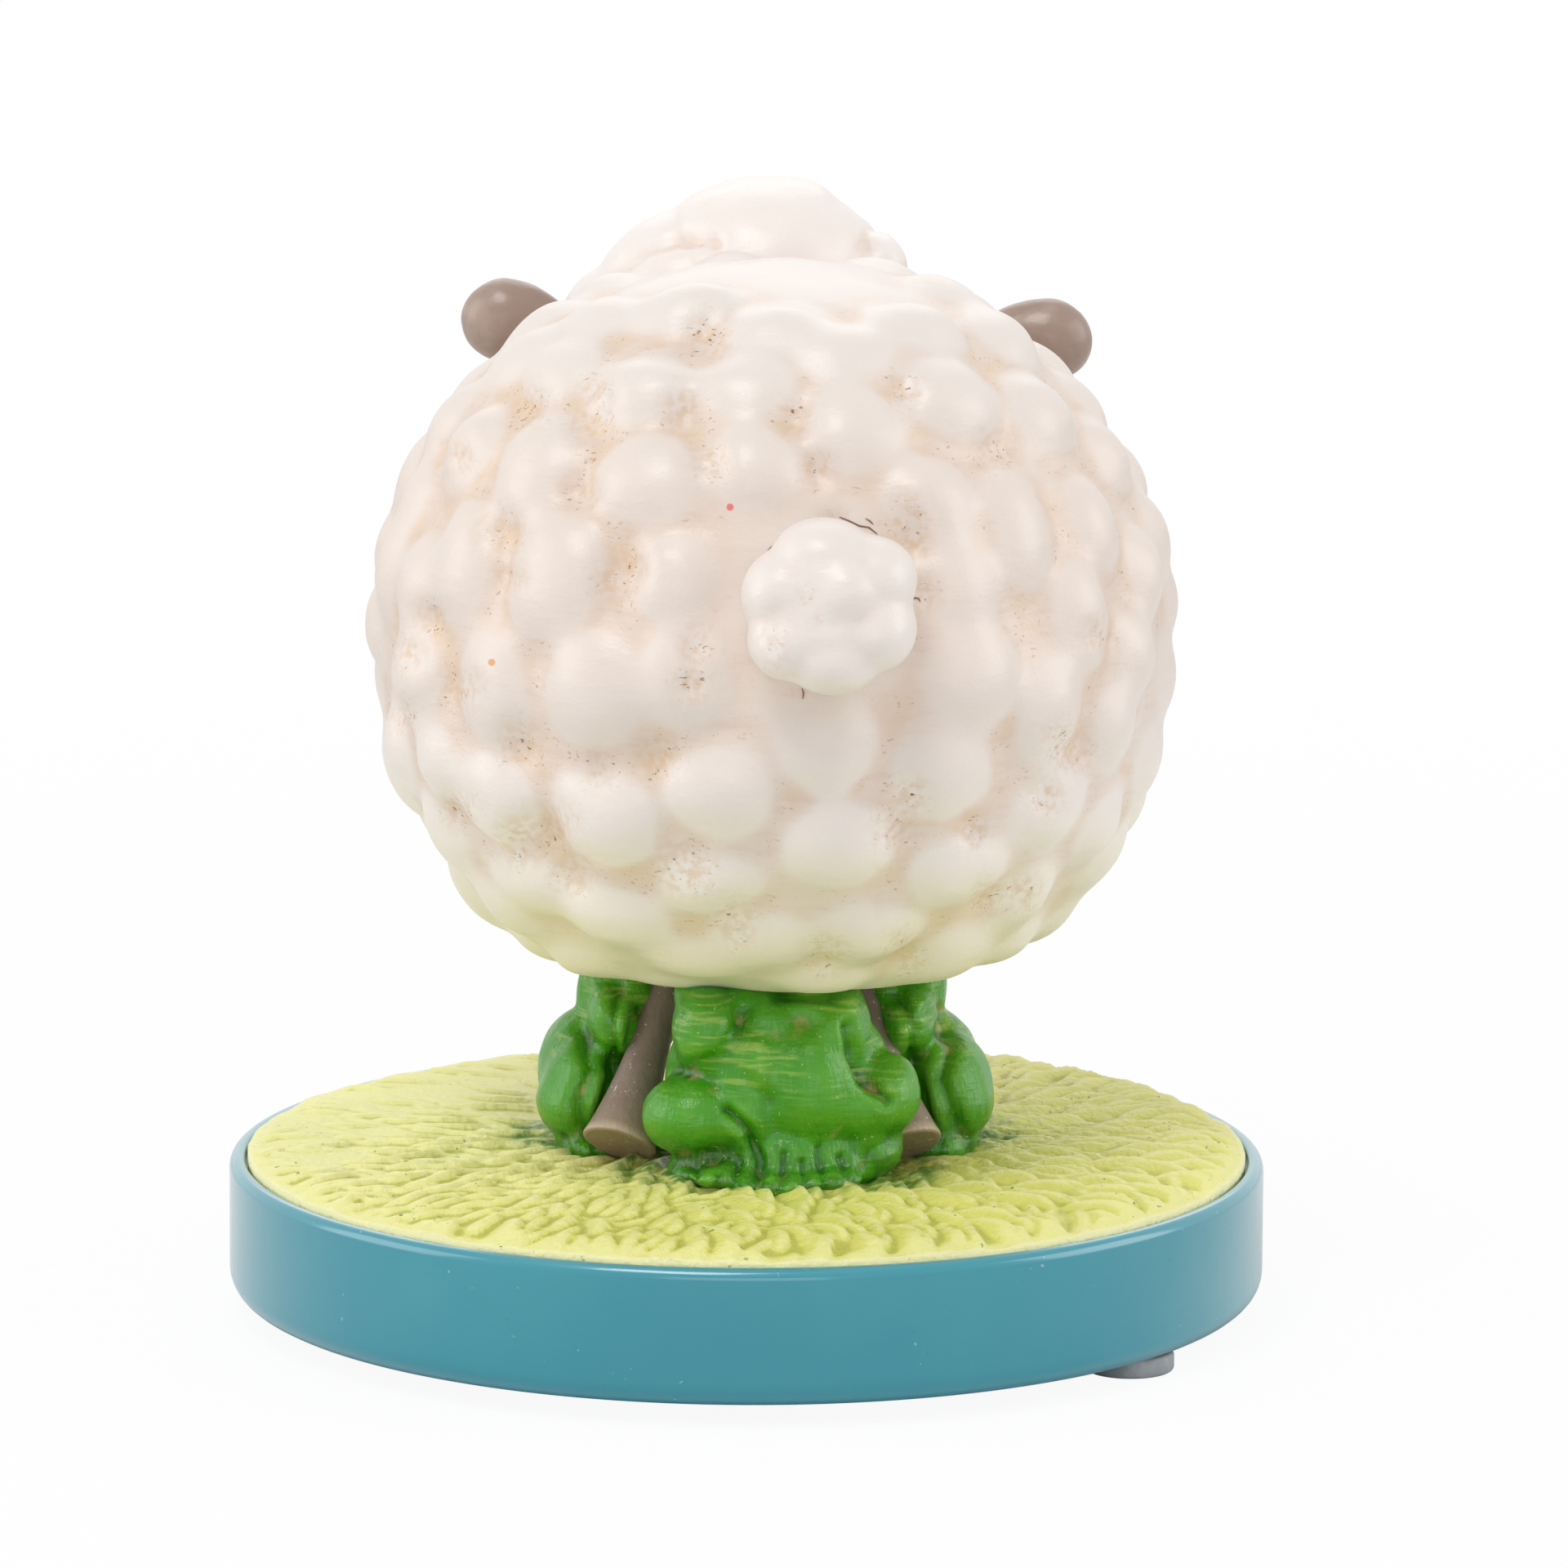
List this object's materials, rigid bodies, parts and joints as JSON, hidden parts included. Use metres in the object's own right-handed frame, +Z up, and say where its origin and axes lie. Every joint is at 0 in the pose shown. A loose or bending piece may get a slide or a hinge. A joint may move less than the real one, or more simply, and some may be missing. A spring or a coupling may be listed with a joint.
{
  "type": "sheep figurine",
  "caption": "Small painted resin sheep with a round tufted fleece, carried by leafy bushes on a round plinth with a grass inlay.",
  "frame": {"origin": "centre of the plinth, on the surface that the foot pads stand on", "axes": "+Z up; the sheep looks along -Y and its left side is +X"},
  "size_m": [0.105, 0.105, 0.1115],
  "materials": {
    "plinth_paint": "satin teal enamel over cast resin",
    "pad_rubber": "grey self-adhesive rubber",
    "grass_paint": "yellow-green acrylic over carved resin",
    "leaf_paint": "brushed green acrylic over cast resin",
    "screw_steel": "zinc-plated steel",
    "leg_paint": "grey-brown acrylic over cast resin",
    "fleece_paint": "warm white acrylic with a tan wash over cast resin",
    "face_paint": "grey-brown acrylic over cast resin"
  },
  "bodies": {
    "root": {"plinth": "plinth_paint", "foot_pad_front_left": "pad_rubber", "foot_pad_rear_right": "pad_rubber", "foot_pad_front_right": "pad_rubber", "turf_disc": "grass_paint", "bush_rear": "leaf_paint", "bush_left": "leaf_paint", "bush_right": "leaf_paint", "base_screws": "screw_steel", "leg_rear_left": "leg_paint", "leg_rear_right": "leg_paint", "leg_front_left": "leg_paint", "leg_front_right": "leg_paint", "fleece_body": "fleece_paint", "tail": "fleece_paint", "head": "face_paint", "wool_cap": "fleece_paint", "ear_left": "face_paint", "ear_right": "face_paint"}
  },
  "joints": []
}
